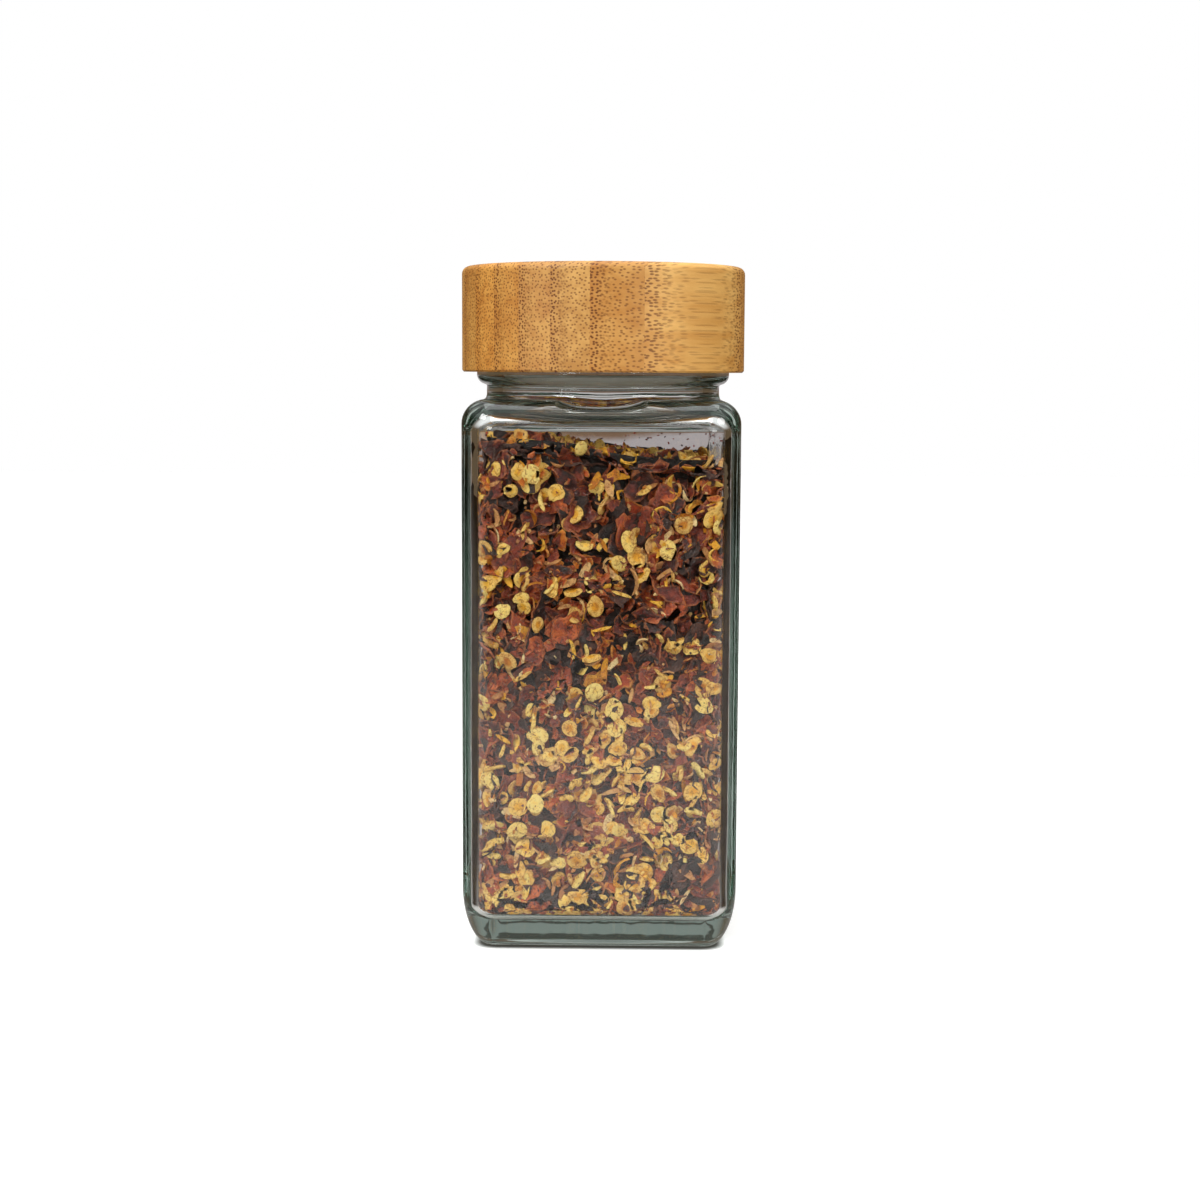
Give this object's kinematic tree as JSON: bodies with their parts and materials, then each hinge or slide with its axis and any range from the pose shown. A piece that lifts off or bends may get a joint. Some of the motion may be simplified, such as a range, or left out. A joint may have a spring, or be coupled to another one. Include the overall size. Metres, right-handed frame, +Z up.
{
  "type": "spice jar",
  "caption": "Square glass spice jar of crushed red pepper with a sifter insert and a round screw lid turned from laminated bamboo.",
  "frame": {"origin": "the point on the table under the middle of the jar, at the bottom centre of its box", "axes": "+Z up along the jar's and the lid's common axis; the jar's flat faces look along +X, -X, +Y and -Y, and the picture looks along +Y at the -Y face"},
  "size_m": [0.0476, 0.0476, 0.1119],
  "materials": {
    "glass": "clear soda-lime glass with a faint green tint, fire-polished",
    "pepper": "dried crushed red pepper flakes with pale yellow seeds",
    "sifter_plastic": "moulded natural polyethylene, satin",
    "seal_foam": "off-white closed-cell foam",
    "liner_plastic": "moulded polypropylene, satin",
    "bamboo": "turned and sanded laminated bamboo with a thin matt oil finish"
  },
  "bodies": {
    "jar": {"glass_jar": "glass", "spice_fill": "pepper", "sifter_insert": "sifter_plastic"},
    "seal": {"seal_disc": "seal_foam"},
    "lid": {"liner_cap": "liner_plastic", "lid_strip_1": "bamboo", "lid_strip_2": "bamboo", "lid_strip_3": "bamboo", "lid_strip_4": "bamboo", "lid_strip_5": "bamboo", "lid_strip_6": "bamboo", "lid_strip_7": "bamboo", "lid_strip_8": "bamboo", "lid_strip_9": "bamboo"}
  },
  "joints": [
    {"name": "lid_rise", "type": "slide", "parent": "jar", "child": "seal", "axis": [0, 0, 1], "range_m": [0, 0.01786]},
    {"name": "lid_turn", "type": "hinge", "parent": "seal", "child": "lid", "pos_m": [0, 0, 0.1], "axis": [0, 0, 1], "range_deg": [0, 1530]}
  ],
  "couplings": [
    {"joint": "lid_rise", "follows": "lid_turn", "m_per_rad": 0.00066845}
  ]
}
